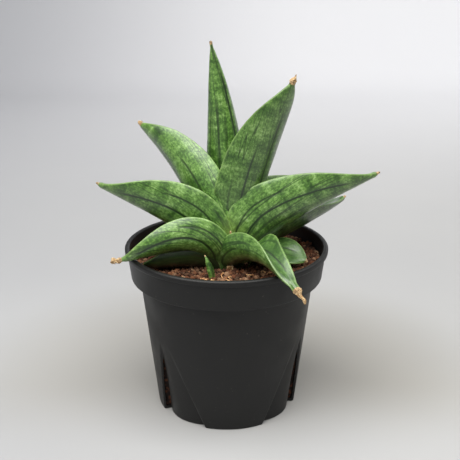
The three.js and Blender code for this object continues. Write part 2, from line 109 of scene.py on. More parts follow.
# The blades are the ones of the CAD part. A blade starts on a ring round the crown and follows a
# spine through `rise` and `bend` to `tip`, measured from the top of the substrate. `span` is its
# greatest width laid flat, `fold` and `crease` say how its halves fold back from the keel, and
# `back` is the way that the keel faces at the tip. `lobe` widens one half: the side, the place
# along the blade, the millimetres it adds and the share of the length that it covers.
# `veins` are the dark lines that run along a blade: where each lies across it, from one margin at
# -1 over the keel at 0 to the other at 1, how strong it is, and the shares of the length where it
# starts and ends. `dry` is the length of tip that has withered.
LEAVES = [
    dict(name="leaf_centre", azimuth=-95, ring=4, wrap=85,
         rise=(1.5, 4, 41.5), bend=(-0.4, 12, 91.5), tip=(-10.2, 10, 144.5),
         span=37, widest=0.35, taper=1.25, fold=58, crease=1.6, thick=6.5, blunt=0.8,
         back=(0.1, -1, 0),
         veins=[(-0.2, 0.7, 0.1, 0.8), (0.5, 1, 0.05, 0.93), (-0.62, 0.5, 0.1, 0.75),
                (0.78, 0.4, 0.2, 0.8)],
         dry=2),
    dict(name="leaf_upper_right", azimuth=-20, ring=7, wrap=80,
         rise=(13, -3, 27.5), bend=(26.5, -6, 73.5), tip=(42.5, -10, 122),
         span=60, widest=0.45, taper=2.6, fold=72, crease=1.8, thick=6, blunt=2.3,
         back=(0.7, -0.7, 0),
         veins=[(-0.08, 1, 0.08, 0.88), (-0.42, 0.9, 0.1, 0.72), (-0.68, 0.5, 0.2, 0.55),
                (0.4, 0.4, 0.1, 0.6)],
         dry=3),
    dict(name="leaf_upper_left", azimuth=-175, ring=10, wrap=80,
         rise=(-10, -8, 23.5), bend=(-27.5, 2, 64), tip=(-59.5, 26, 88),
         span=56, widest=0.4, taper=2.6, fold=78, crease=1.7, thick=6, blunt=1.6,
         back=(-0.6, -0.8, -0.7),
         veins=[(0.02, 1, 0.1, 0.9), (0.42, 0.8, 0.15, 0.75), (-0.4, 0.6, 0.1, 0.7),
                (0.74, 0.4, 0.1, 0.6)],
         dry=3),
    dict(name="leaf_right", azimuth=-5, ring=13, wrap=95,
         rise=(15, -8, 17.5), bend=(56, -8, 39.5), tip=(102, -4, 60.5),
         span=76, widest=0.38, taper=1.6, fold=80, crease=3, thick=6, blunt=0.8,
         back=(0.2, -0.45, -0.9),
         lobe=(1, 0.45, 9, 0.24),
         veins=[(-0.5, 1, 0.08, 0.9), (-0.72, 0.8, 0.05, 0.62), (-0.22, 0.5, 0.1, 0.7),
                (0.3, 0.6, 0.1, 0.8), (0.65, 0.7, 0.1, 0.8)],
         dry=3),
    dict(name="leaf_left", azimuth=180, ring=16, wrap=92,
         rise=(-14, -8, 21), bend=(-46, -10, 33.5), tip=(-86.5, -6, 54),
         span=68, widest=0.38, taper=2, fold=78, crease=3, thick=6, blunt=0.8,
         back=(-0.1, -0.5, -0.9),
         veins=[(0.42, 1, 0.08, 0.92), (0.7, 0.9, 0.08, 0.7), (0.1, 0.5, 0.1, 0.7),
                (-0.4, 0.6, 0.1, 0.8)],
         dry=2),
    dict(name="leaf_lower_right", azimuth=22, ring=17, wrap=72,
         rise=(24, 6, 11.5), bend=(52, 18, 15.5), tip=(85, 28, 34.5),
         span=48, widest=0.5, taper=2.2, fold=60, crease=2, thick=5.5, blunt=0.8,
         back=(0.3, -0.1, -1),
         veins=[(-0.45, 0.9, 0.1, 0.85), (-0.1, 0.5, 0.1, 0.7), (0.4, 0.6, 0.1, 0.8)],
         dry=2),
    dict(name="leaf_front_left", azimuth=-150, ring=19, wrap=66,
         rise=(-12, -22, 21.5), bend=from_lip(-138, 19, 19.5), tip=from_lip(-153, -8.6, 10),
         span=50, widest=0.35, taper=1.5, fold=72, crease=2.4, thick=6, blunt=1.6,
         back=(-0.1, -0.6, -0.8),
         veins=[(0.45, 1, 0.1, 0.93), (0.75, 0.7, 0.15, 0.6), (0.05, 0.5, 0.1, 0.7),
                (-0.4, 0.5, 0.1, 0.7)],
         dry=3),
    dict(name="leaf_front", azimuth=-85, ring=16, wrap=38,
         rise=(-2, -30, 15), bend=from_lip(-58, 21, 22), tip=from_lip(-60.5, -17.5, 5),
         span=34, widest=0.4, taper=1.7, fold=84, crease=2, thick=5.5, blunt=2.2,
         back=(0.5, -0.45, -0.8),
         lobe=(1, 0.52, 9, 0.16),
         veins=[(-0.45, 0.8, 0.1, 0.5), (0.45, 1, 0.3, 0.9), (0.05, 0.5, 0.35, 0.8)],
         dry=3),
    dict(name="leaf_low_left", azimuth=-140, ring=20, wrap=34,
         rise=(-14, -22, 7.5), bend=from_lip(-141.7, 21.6, 3.5), tip=from_lip(-153.4, 5.2, 4.5),
         span=30, widest=0.4, taper=2, fold=60, crease=2, thick=4.5, blunt=0.6,
         back=(-0.2, -0.6, -0.9),
         veins=[(0.4, 0.7, 0.1, 0.8), (-0.3, 0.6, 0.1, 0.8)],
         dry=4),
    dict(name="leaf_low_right", azimuth=-25, ring=19, wrap=26,
         rise=(22, -12, 7.5), bend=from_lip(-21.8, 27, 10.5), tip=from_lip(-22.2, 11.7, 3.5),
         span=28, widest=0.5, taper=2.4, fold=30, crease=1.5, thick=4, blunt=0.8,
         back=(0.3, 0.3, -0.9),
         veins=[(0.3, 0.8, 0.1, 0.85), (-0.2, 0.7, 0.1, 0.85), (-0.6, 0.5, 0.1, 0.7)],
         dry=2),
]

SPROUT = dict(name="sprout", azimuth=-60, ring=1.6, wrap=70,
              rise=(-9, -40, 3), bend=(-11, -40, 9), tip=(-14, -38, 14),
              span=5.5, widest=0.4, taper=1.7, fold=60, crease=1.2, thick=1.6, blunt=0.6,
              back=(0.5, -0.8, 0), veins=[(0.0, 0.6, 0.1, 0.8)], dry=0.6)

SHEATH = dict(name="dry_sheath", azimuth=-90, ring=22, wrap=7,
              rise=(3, -27, 9), bend=(4, -25, 18), tip=(2.5, -24.5, 26),
              span=4, widest=0.3, taper=1.5, fold=30, crease=1, thick=1.2, blunt=0.6,
              back=(0, -1, 0.2), veins=[], dry=40)

LEAF_ROWS = 120
SMALL_LEAF_ROWS = 40
LEAF_COLUMNS = 29  # from margin to margin on each face, before the veins add theirs
RIM_STEPS = 4
SECTION_STEPS = 64
GROOVE_WIDTH = 0.55
GROOVE_DEPTH = 0.22
SWELL = 0.22  # unevenness of the skin
WIDTH_WAVES = ((0.03, 0.05), (0.01, 0.2))  # share of the width, and steps of noise per millimetre
RIM_THINNING = 0.72  # share of its thickness that a blade loses toward its margin
RIM_ROUNDING = 0.75  # how far the rim goes out, as a share of half its thickness
SKIN_OFFSET = 37  # sets the leaves apart in the noise of their materials


def unit(vector):
    return vector / np.linalg.norm(vector, axis=-1, keepdims=True)


def smoothstep(x, low, high):
    t = np.clip((x - low) / (high - low), 0, 1)
    return t * t * (3 - 2 * t)


def ease(x, low, high):
    """The same smooth step for one number."""
    t = min(1.0, max(0.0, (x - low) / (high - low)))
    return t * t * (3 - 2 * t)


def half_width(leaf, u):
    """Half the width of the blade laid flat, from its foot to its tip."""
    foot = leaf["ring"] * math.radians(leaf["wrap"])
    side = leaf["span"] / 2
    rest = np.clip((u - leaf["widest"]) / (1 - leaf["widest"]), 0, 1)
    low = foot + (side - foot) * smoothstep(u, 0, leaf["widest"])
    high = np.maximum(leaf["blunt"], side * (1 - rest ** leaf["taper"]))
    return np.where(u < leaf["widest"], low, high)


def lobe_width(leaf, u, s):
    """What a lobe adds to one half of the blade."""
    side, place, extra, spread = leaf.get("lobe", (0, 0, 0, 1))
    return extra * math.exp(-(((u - place) / spread) ** 2)) if s * side > 0 else 0.0


def columns_across(leaf, half):
    """Where the columns of the blade lie, with three of them at each vein to hold its groove."""
    even = np.linspace(-1, 1, LEAF_COLUMNS)
    step = GROOVE_WIDTH / half
    veins = [vein[0] for vein in leaf["veins"]]
    spare = [s for s in even if all(abs(s - v) > 1.6 * step for v in veins)]
    near = [v + k * step for v in veins for k in (-1, 0, 1)]
    return np.array(sorted(spare + near))


def blade_section(leaf, u):
    """The folded half section of each row: how far across and down it lies and how it has turned."""
    open_out = 1 - u**6
    fold = leaf["wrap"] + (leaf["fold"] - leaf["wrap"]) * np.minimum(1, 2 * u)
    fold = np.radians(fold) * open_out
    crease = 1 + (leaf["crease"] - 1) * np.minimum(1, 2.5 * u) * open_out
    shares = (np.arange(SECTION_STEPS) + 0.5) / SECTION_STEPS
    turn = fold[:, None] * (1 - (1 - shares[None, :]) ** crease[:, None])
    zero = np.zeros((len(u), 1))
    across = np.hstack([zero, np.cumsum(np.cos(turn), axis=1) / SECTION_STEPS])
    drop = np.hstack([zero, np.cumsum(np.sin(turn), axis=1) / SECTION_STEPS])
    return across, drop, fold, crease


def smooth_noise(seed, x, y=0.0, z=0.0):
    return noise.noise(Vector((x + 17.3 * seed, y - 5.1 * seed, z + 2.7 * seed)))


def blade_mesh(leaf, centre, seed, rows=LEAF_ROWS):
    """The blade as a closed mesh whose points carry what its material needs to know."""
    azimuth = math.radians(leaf["azimuth"])
    out = np.array([math.cos(azimuth), math.sin(azimuth), 0.0])
    lift = np.array([0, 0, SUBSTRATE_TOP])
    foot = np.array(centre, float) + leaf["ring"] * out
    spine = [foot] + [np.array(leaf[k], float) + lift for k in ("rise", "bend", "tip")]
    u = np.linspace(0, 1, rows + 1)
    v = 1 - u
    weights = np.stack([v**3, 3 * v * v * u, 3 * v * u * u, u**3], axis=1)
    point = weights @ np.array(spine)
    slopes = np.stack([v * v, 2 * v * u, u * u], axis=1)
    along = unit(slopes @ np.diff(np.array(spine), axis=0))
    keel = v[:, None] * out + u[:, None] * unit(np.array(leaf["back"], float))
    keel = unit(keel - np.sum(keel * along, axis=1, keepdims=True) * along)
    side = np.cross(along, keel)
    run = np.concatenate([[0], np.cumsum(np.linalg.norm(np.diff(point, axis=0), axis=1))])

    wave = [1 + sum(size * smooth_noise(seed, rate * r) for size, rate in WIDTH_WAVES) for r in run]
    half = half_width(leaf, u) * np.array(wave)
    # Thickest halfway along, and never much thicker than the blade is wide.
    fleshy = leaf["thick"] * (0.6 + 0.4 * np.sin(np.pi * u))
    thick = np.minimum(fleshy, 1.6 * half + 0.3)
    across, drop, fold, crease = blade_section(leaf, u)
    stations = columns_across(leaf, leaf["span"] / 2)
    grid = np.linspace(0, 1, SECTION_STEPS + 1)

    # `skin` holds the millimetres across and along; `mark` the distance to the nearest vein, its
    # strength and the distance from the margin; `grow` the share of the length, 1 on the inner
    # face, and how dry the place is.
    points, skin, mark, grow = [], [], [], []

    def add(place, s, i, inner):
        vein, strength = nearest_vein(leaf, s, u[i], half[i])
        points.append(place)
        skin.append((s * half[i], run[i], SKIN_OFFSET * seed))
        mark.append((vein, strength, (1 - abs(s)) * half[i]))
        grow.append((u[i], inner, max(0.0, 1 - (run[-1] - run[i]) / leaf["dry"])))

    def middle(i, s):
        """The middle of the thickness, the way it faces, the way out, and half the thickness."""
        a = abs(s)
        turn = fold[i] * (1 - (1 - a) ** crease[i])
        sign = np.sign(s)
        wide = half[i] + lobe_width(leaf, u[i], s)
        place = point[i] + side[i] * sign * wide * np.interp(a, grid, across[i])
        place = place - keel[i] * wide * np.interp(a, grid, drop[i])
        facing = side[i] * sign * math.sin(turn) + keel[i] * math.cos(turn)
        outward = side[i] * sign * math.cos(turn) - keel[i] * math.sin(turn)
        reach = thick[i] / 2 * (1 - RIM_THINNING * a**3)
        return place, facing, outward, reach

    for i in range(rows + 1):
        for inner, order in ((0, stations), (1, stations[::-1])):
            for s in order:
                place, facing, outward, reach = middle(i, s)
                vein, strength = nearest_vein(leaf, s, u[i], half[i])
                groove = GROOVE_DEPTH * strength * math.exp(-((vein / GROOVE_WIDTH) ** 2))
                swell = SWELL * smooth_noise(seed + inner, 0.07 * run[i], 0.13 * s * half[i])
                sign = -1 if inner else 1
                height = reach - groove * (0.5 if inner else 1) + swell * min(1, reach)
                add(place + facing * sign * height, s, i, inner)
            end = order[-1]
            place, facing, outward, reach = middle(i, end)
            for k in range(1, RIM_STEPS + 1):
                angle = math.pi * k / (RIM_STEPS + 1)
                turned = facing * math.cos(angle) * (-1 if inner else 1)
                rim = place + (turned + RIM_ROUNDING * outward * math.sin(angle)) * reach
                add(rim, end, i, inner)

    ring = 2 * (len(stations) + RIM_STEPS)
    faces = ring_faces(rows + 1, ring)
    # Each end is closed by a fan to a point just past it.
    for i, tail in ((0, -0.2), (rows, 0.6)):
        add(point[i] + along[i] * tail, 0, i, 0)
        cap = len(points) - 1
        for j in range(ring):
            k = (j + 1) % ring
            faces.append((cap, i * ring + j, i * ring + k))
    return mesh_from(leaf["name"] + "_blade", np.array(points), faces,
                     dict(skin=skin, mark=mark, grow=grow))


def nearest_vein(leaf, s, u, half):
    """Distance in millimetres to the nearest dark line, and how strong the line is there."""
    far_off = 9.0
    best, strength = far_off, 0.0
    for place, power, start, end in leaf["veins"]:
        distance = abs(s - place) * half
        if distance < best:
            fade = ease(u, start, start + 0.08) * (1 - ease(u, end - 0.1, end))
            best, strength = distance, power * fade
    return best, strength


# ---------------------------------------------------------------- meshes


def mesh_from(name, points, faces, attributes=None):
    """A mesh in metres from points in millimetres, with its faces turned outward."""
    mesh = bpy.data.meshes.new(name)
    mesh.from_pydata((points * MM).tolist(), [], faces)
    for key, values in (attributes or {}).items():
        layer = mesh.attributes.new(key, "FLOAT_VECTOR", "POINT")
        layer.data.foreach_set("vector", np.array(values, np.float32).ravel())
    work = bmesh.new()
    work.from_mesh(mesh)
    bmesh.ops.recalc_face_normals(work, faces=work.faces)
    work.to_mesh(mesh)
    work.free()
    mesh.shade_smooth()
    return mesh


def ring_faces(rings, around):
    """The four-sided faces between rings of points that follow one another."""
    faces = []
    for i in range(rings - 1):
        for j in range(around):
            k = (j + 1) % around
            faces.append((i * around + j, i * around + k, (i + 1) * around + k, (i + 1) * around + j))
    return faces


def turned_mesh(name, points, around, bottom, top):
    """A closed mesh from rings of points round the axis, which it meets at two heights."""
    rings = len(points) // around
    faces = ring_faces(rings, around)
    points = points + [(0, 0, bottom), (0, 0, top)]
    last = (rings - 1) * around
    for j in range(around):
        k = (j + 1) % around
        faces.append((len(points) - 2, k, j))
        faces.append((len(points) - 1, last + j, last + k))
    return mesh_from(name, np.array(points), faces)


def piece(name, mesh, material, replaces):
    """An object that rides on the plant's one body and stands for its CAD nodes."""
    made = bpy.data.objects.new(name, mesh)
    bpy.context.scene.collection.objects.link(made)
    made.data.materials.clear()
    made.data.materials.append(material)
    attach(made, BODY)
    if replaces:
        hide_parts(*replaces)


# ---------------------------------------------------------------- materials


def srgb(red, green, blue):
    """A colour as a shader takes it, from the 0-255 values that a screen shows."""
    def linear(value):
        c = value / 255
        return c / 12.92 if c <= 0.04045 else ((c + 0.055) / 1.055) ** 2.4
    return (linear(red), linear(green), linear(blue), 1)


class Shader:
    """A node material, with short ways to make the nodes that the materials share."""

    def __init__(self, name):
        self.material = bpy.data.materials.new(name)
        self.material.use_nodes = True
        self.nodes = self.material.node_tree.nodes
        self.links = self.material.node_tree.links
        self.surface = next(n for n in self.nodes if n.type == "BSDF_PRINCIPLED")

    def node(self, kind, **settings):
        made = self.nodes.new("ShaderNode" + kind)
        for key, value in settings.items():
            setattr(made, key, value)
        return made

    def put(self, socket, value):
        if isinstance(value, bpy.types.NodeSocket):
            self.links.new(value, socket)
        else:
            socket.default_value = value

    def attribute(self, name):
        return self.node("Attribute", attribute_name=name).outputs["Vector"]

    def parts(self, vector):
        split = self.node("SeparateXYZ")
        self.put(split.inputs[0], vector)
        return split.outputs[0], split.outputs[1], split.outputs[2]

    def coordinates(self):
        return self.node("TexCoord").outputs["Object"]

    def stretch(self, vector, scale):
        mapped = self.node("Mapping")
        self.put(mapped.inputs["Vector"], vector)
        mapped.inputs["Scale"].default_value = scale
        return mapped.outputs[0]

    def noise(self, vector, scale, detail=2.0, roughness=0.5, distortion=0.0):
        made = self.node("TexNoise")
        self.put(made.inputs["Vector"], vector)
        made.inputs["Scale"].default_value = scale
        made.inputs["Detail"].default_value = detail
        made.inputs["Roughness"].default_value = roughness
        made.inputs["Distortion"].default_value = distortion
        return made.outputs["Fac"]

    def cells(self, vector, scale):
        made = self.node("TexVoronoi")
        self.put(made.inputs["Vector"], vector)
        made.inputs["Scale"].default_value = scale
        return made.outputs["Distance"]

    def math(self, operation, a, b=0.0):
        made = self.node("Math", operation=operation)
        self.put(made.inputs[0], a)
        self.put(made.inputs[1], b)
        return made.outputs[0]

    def window(self, value, low, high, to_low=0.0, to_high=1.0):
        """A smooth step from `to_low` to `to_high` while the value goes from `low` to `high`."""
        made = self.node("MapRange", interpolation_type="SMOOTHSTEP")
        self.put(made.inputs["Value"], value)
        for key, number in (("From Min", low), ("From Max", high),
                            ("To Min", to_low), ("To Max", to_high)):
            made.inputs[key].default_value = number
        return made.outputs["Result"]

    def mix(self, share, a, b):
        made = self.node("Mix", data_type="RGBA")
        self.put(made.inputs["Factor"], share)
        self.put(made.inputs[6], a)
        self.put(made.inputs[7], b)
        return made.outputs[2]

    def ramp(self, value, stops):
        made = self.node("ValToRGB")
        self.put(made.inputs[0], value)
        elements = made.color_ramp.elements
        while len(elements) < len(stops):
            elements.new(0.5)
        for element, (place, colour) in zip(elements, stops):
            element.position = place
            element.color = colour
        return made.outputs["Color"]

    def bump(self, height, distance, strength, under=None):
        """A relief of a depth in millimetres, laid over the relief `under` where one is given."""
        made = self.node("Bump")
        made.inputs["Distance"].default_value = distance * MM
        made.inputs["Strength"].default_value = strength
        self.put(made.inputs["Height"], height)
        if under is not None:
            self.put(made.inputs["Normal"], under)
        return made.outputs[0]

    def finish(self, colour, roughness, normal, **fixed):
        self.put(self.surface.inputs["Base Color"], colour)
        self.put(self.surface.inputs["Roughness"], roughness)
        self.put(self.surface.inputs["Normal"], normal)
        for key, value in fixed.items():
            self.surface.inputs[key.replace("_", " ")].default_value = value
        return self.material


def leaf_material(name, shade, foot):
    """Fleshy green skin with cross bands, specks, dark lines, a thin pale margin and a dry tip.

    `shade` deepens the green as painted shade, for the leaves on which shadow falls.
    `foot` is the colour toward the foot: the crown leaves' own pale green, and a painted shade, dark
    under the outer leaves.
    """
    s = Shader(name)
    skin = s.attribute("skin")
    vein, strength, margin = s.parts(s.attribute("mark"))
    grown, inner, dry = s.parts(s.attribute("grow"))

    # Green in cross bands and small clouds, the skin's own mottling; the palest, greyish stop is also
    # a painted sheen.
    bands = s.noise(s.stretch(skin, (0.05, 0.17, 1)), 1.0, 2.0, 0.5, 0.3)
    cloud = s.noise(s.stretch(skin, (0.75, 0.55, 1)), 1.0, 4.0, 0.7)
    tone = s.math("ADD", s.math("MULTIPLY", bands, 0.42), s.math("MULTIPLY", cloud, 0.58))
    colour = s.ramp(tone, [
        (0.36, srgb(36, 66, 20)), (0.46, srgb(68, 106, 38)),
        (0.55, srgb(108, 148, 68)), (0.66, srgb(156, 190, 118)),
    ])
    # Painted shade: the green deepened toward a dark green, for a leaf that lies in shadow.
    colour = s.mix(shade, colour, srgb(34 - 22 * shade, 58 - 38 * shade, 20 - 13 * shade))

    # Faint streaks along the blade, and thin dark lines where a slow drift passes two levels.
    streak = s.noise(s.stretch(skin, (1.3, 0.035, 1)), 1.0, 2.0, 0.6)
    colour = s.mix(s.window(streak, 0.52, 0.68, 0, 0.5), colour, srgb(44, 76, 28))
    drift = s.noise(s.stretch(skin, (0.15, 0.006, 1)), 1.0, 1.0)
    for level, reach, share in ((0.5, 0.016, 0.75), (0.6, 0.012, 0.6)):
        away = s.math("ABSOLUTE", s.math("SUBTRACT", drift, level))
        colour = s.mix(s.window(away, reach, reach / 4, 0, share), colour, srgb(24, 48, 16))

    # Specks in patches, the colour toward the foot (pale green in the crown, painted shade under the
    # outer leaves), and a darker inner face.
    specks = s.cells(s.stretch(skin, (0.9, 0.75, 1)), 1.0)
    patch = s.noise(s.stretch(skin, (0.25, 0.3, 1)), 1.0, 1.0)
    speck = s.math("MULTIPLY", s.window(specks, 0.32, 0.14), s.window(patch, 0.42, 0.6))
    colour = s.mix(s.math("MULTIPLY", speck, 0.5), colour, srgb(38, 66, 26))
    colour = s.mix(s.window(grown, 0.34, 0.16, 0, 0.65), colour, foot)
    colour = s.mix(s.math("MULTIPLY", inner, 0.35), colour, srgb(50, 84, 36))

    # The dark line of each vein, a little wavy, with a soft dark band beside it.
    wander = s.noise(s.stretch(skin, (0.5, 0.5, 1)), 1.0, 2.0)
    wide = s.math("ADD", vein, s.math("MULTIPLY", s.math("SUBTRACT", wander, 0.5), 0.35))
    line = s.math("MULTIPLY", s.window(wide, 0.8, 0.35), strength)
    colour = s.mix(line, colour, srgb(12, 30, 8))
    halo = s.math("MULTIPLY", s.window(wide, 2.6, 0.4), strength)
    colour = s.mix(s.math("MULTIPLY", halo, 0.3), colour, srgb(36, 66, 24))

    # A pale margin and a withered tip.
    edge = s.window(margin, 0.5, 0.1)
    colour = s.mix(s.math("MULTIPLY", edge, 0.4), colour, srgb(136, 168, 92))
    fray = s.noise(skin, 0.8, 3.0)
    withered = s.window(s.math("ADD", dry, s.math("MULTIPLY", fray, 0.4)), 0.3, 0.55)
    tan = s.ramp(fray, [(0.35, srgb(92, 66, 38)), (0.6, srgb(188, 158, 112))])
    colour = s.mix(withered, colour, tan)

    # Ribs along the blade, fine pores and an uneven gloss, matt where it has withered.
    ribs = s.noise(s.stretch(skin, (1.5, 0.05, 1)), 1.0, 3.0, 0.6)
    pores = s.noise(skin, 2.2, 2.0)
    normal = s.bump(ribs, 0.25, 0.55)
    normal = s.bump(pores, 0.05, 0.5, normal)
    rough = s.window(s.noise(skin, 0.35, 2.0), 0.3, 0.7, 0.3, 0.42)
    rough = s.mix(withered, rough, (0.8, 0.8, 0.8, 1))
    return s.finish(colour, rough, normal, Specular_IOR_Level=0.5, Coat_Weight=0.6,
                    Coat_Roughness=0.3)


def dry_material():
    """Papery, withered tissue: cream to brown along its fibres."""
    s = Shader("dry_tissue")
    skin = s.attribute("skin")
    fibre = s.noise(s.stretch(skin, (1.6, 0.3, 1)), 1.0, 4.0, 0.65)
    colour = s.ramp(fibre, [
        (0.32, srgb(70, 44, 24)), (0.44, srgb(140, 104, 64)),
        (0.56, srgb(200, 174, 132)), (0.7, srgb(228, 212, 180)),
    ])
    return s.finish(colour, 0.85, s.bump(fibre, 0.5, 0.8), Specular_IOR_Level=0.3)


def pot_material():
    """Near-black moulded plastic with a fine texture, scuffs and a little dust."""
    s = Shader("pot_plastic")
    place = s.coordinates()
    cloud = s.noise(place, 38.0, 3.0)
    fine = s.noise(place, 900.0, 2.0)
    scuff = s.noise(s.stretch(place, (260, 260, 22)), 1.0, 3.0, 0.7)
    colour = s.ramp(cloud, [(0.3, srgb(15, 15, 14)), (0.7, srgb(21, 21, 20))])
    colour = s.mix(s.window(scuff, 0.62, 0.78, 0, 0.25), colour, srgb(52, 52, 50))
    dust = s.window(s.noise(place, 420.0, 2.0), 0.7, 0.77, 0, 0.3)
    colour = s.mix(dust, colour, srgb(88, 84, 76))
    rough = s.window(cloud, 0.3, 0.7, 0.42, 0.56)
    normal = s.bump(fine, 0.05, 0.35)
    normal = s.bump(s.noise(place, 90.0, 2.0), 0.25, 0.3, normal)
    return s.finish(colour, rough, normal, Specular_IOR_Level=0.35)


def granule_material():
    """Fired clay: each granule has a tone of its own, with pits and paler dust."""
    s = Shader("clay_granules")
    tone, chalk, _ = s.parts(s.attribute("grain"))
    place = s.coordinates()
    colour = s.ramp(tone, [
        (0.0, srgb(32, 20, 14)), (0.3, srgb(62, 37, 24)), (0.6, srgb(88, 53, 34)),
        (0.85, srgb(112, 71, 46)), (1.0, srgb(140, 100, 68)),
    ])
    blotch = s.noise(place, 520.0, 3.0, 0.6)
    colour = s.mix(s.window(blotch, 0.45, 0.7, 0, 0.5), colour, srgb(66, 38, 26))
    colour = s.mix(s.math("MULTIPLY", chalk, 0.35), colour, srgb(196, 160, 124))
    normal = s.bump(blotch, 0.5, 0.7)
    normal = s.bump(s.noise(place, 1900.0, 2.0), 0.12, 0.6, normal)
    return s.finish(colour, 0.95, normal, Specular_IOR_Level=0.25)


def bed_material():
    """The mass of granules seen through the drain slots and between the top ones."""
    s = Shader("clay_bed")
    place = s.coordinates()
    cells = s.cells(place, 360.0)
    # Pale in the middle of each cell and near-black toward its edges: painted shade in the gaps
    # between the granules.
    colour = s.ramp(cells, [(0.1, srgb(96, 58, 38)), (0.6, srgb(24, 15, 11))])
    return s.finish(colour, 0.95, s.bump(cells, 1.2, 0.8), Specular_IOR_Level=0.25)


def rhizome_material():
    """Tan, ringed skin of the underground stem."""
    s = Shader("rhizome_skin")
    place = s.coordinates()
    rings = s.noise(s.stretch(place, (60, 60, 420)), 1.0, 3.0)
    colour = s.ramp(rings, [(0.35, srgb(122, 86, 50)), (0.65, srgb(196, 160, 108))])
    return s.finish(colour, 0.75, s.bump(rings, 0.5, 0.6))


def root_material():
    s = Shader("root_skin")
    place = s.coordinates()
    colour = s.ramp(s.noise(place, 300.0, 3.0),
                    [(0.35, srgb(150, 96, 52)), (0.65, srgb(222, 178, 124))])
    return s.finish(colour, 0.7, s.bump(s.noise(place, 700.0, 2.0), 0.2, 0.6))


def stage_material():
    """Pale studio paper with painted light: a warmer painted shadow round the pot, paler up the
    backdrop and greyer to the left.
    """
    s = Shader("studio_paper")
    place = s.coordinates()
    across, depth, up = s.parts(place)
    grain = s.noise(place, 6.0, 2.0)
    colour = s.ramp(grain, [(0.3, srgb(164, 164, 164)), (0.7, srgb(167, 167, 166))])
    # Painted shadow: darker and warmer on the floor round the pot.
    near = s.math("ADD", s.math("MULTIPLY", across, across), s.math("MULTIPLY", depth, depth))
    patch = s.math("MULTIPLY", s.window(near, 0.06, 0.008, 0, 0.8), s.window(depth, -0.08, 0.02))
    colour = s.mix(patch, colour, srgb(148, 145, 137))
    # Painted light: paler up the backdrop.
    rise = s.math("ADD", s.math("MULTIPLY", depth, 0.5), up)
    colour = s.mix(s.window(rise, 0.1, 0.8), colour, srgb(246, 246, 248))
    # Painted shade: greyer to the left.
    colour = s.mix(s.window(across, 0.25, -0.7, 0, 0.55), colour, srgb(146, 148, 154))
    return s.finish(colour, 0.8, s.bump(s.noise(place, 400.0, 2.0), 0.05, 0.2))


# ---------------------------------------------------------------- pot

POT_COLUMNS = 480
WALL_ROWS = 96
BAY_STEP = 0.8  # degrees to each side of its slotted edge over which a bay steps in
SLOPE_STEP = 1.8  # the same at its sloping edge

# Radii of the pot's rounded edges.
FOOT_EDGE = 0.9
COLLAR_EDGE = 1.2
LIP_LOWER_EDGE = 0.9
LIP_UPPER_EDGE = 1.5
LIP_INNER_EDGE = 1.1


def wall_radius(height):
    return POT_BASE_RADIUS + (NECK_RADIUS - POT_BASE_RADIUS) * height / NECK_HEIGHT


def arc(centre, radius, start, end, steps):
    """Points on an arc in the (radius, height) plane, by angles in degrees."""
    turns = np.radians(np.linspace(start, end, steps))
    return [(centre[0] + radius * math.cos(t), centre[1] + radius * math.sin(t)) for t in turns]


def all_bays():
    """The angle of each bay's middle, and the hand of its slotted side."""
    return [(BAY_FIRST_ANGLE + 360 * k / BAY_COUNT, 1 if k % 2 == 0 else -1)
            for k in range(BAY_COUNT)]


def bay_reach(height, toward):
    """Degrees from a bay's middle to its slotted side (1) or its sloping side (-1)."""
    if toward > 0:
        return BAY_SLOT_ANGLE - BAY_SLOT_LEAN * height
    return BAY_SLOPE_ANGLE * (1 - height / BAY_SLOPE_TOP)


def bay_depth(height, across):
    """How far a bay is pressed in; its floor bulges out along the middle."""
    share = max(0.0, height / BAY_HEIGHT)
    rim = 1 if across > 0 else BAY_SLOPE_SHARE * (1 - share / 2)
    return BAY_DEPTH * (1 - share**2) * (BAY_BULGE + (rim - BAY_BULGE) * across**2)


def bay_press(angle, height):
    """How far the wall is pressed inward at an angle and a height, with soft edges."""
    if height > BAY_HEIGHT:
        return 0.0
    low, high = -bay_reach(height, -1), bay_reach(height, 1)
    pressed = 0.0
    for middle, hand in all_bays():
        off = hand * ((angle - middle + 180) % 360 - 180)
        if low - SLOPE_STEP < off < high + BAY_STEP:
            inside = ease(off, low - SLOPE_STEP, low + SLOPE_STEP)
            inside *= 1 - ease(off, high - BAY_STEP, high + BAY_STEP)
            across = min(1.0, max(-1.0, 2 * (off - low) / (high - low) - 1))
            pressed = inside * bay_depth(height, across)
    return pressed


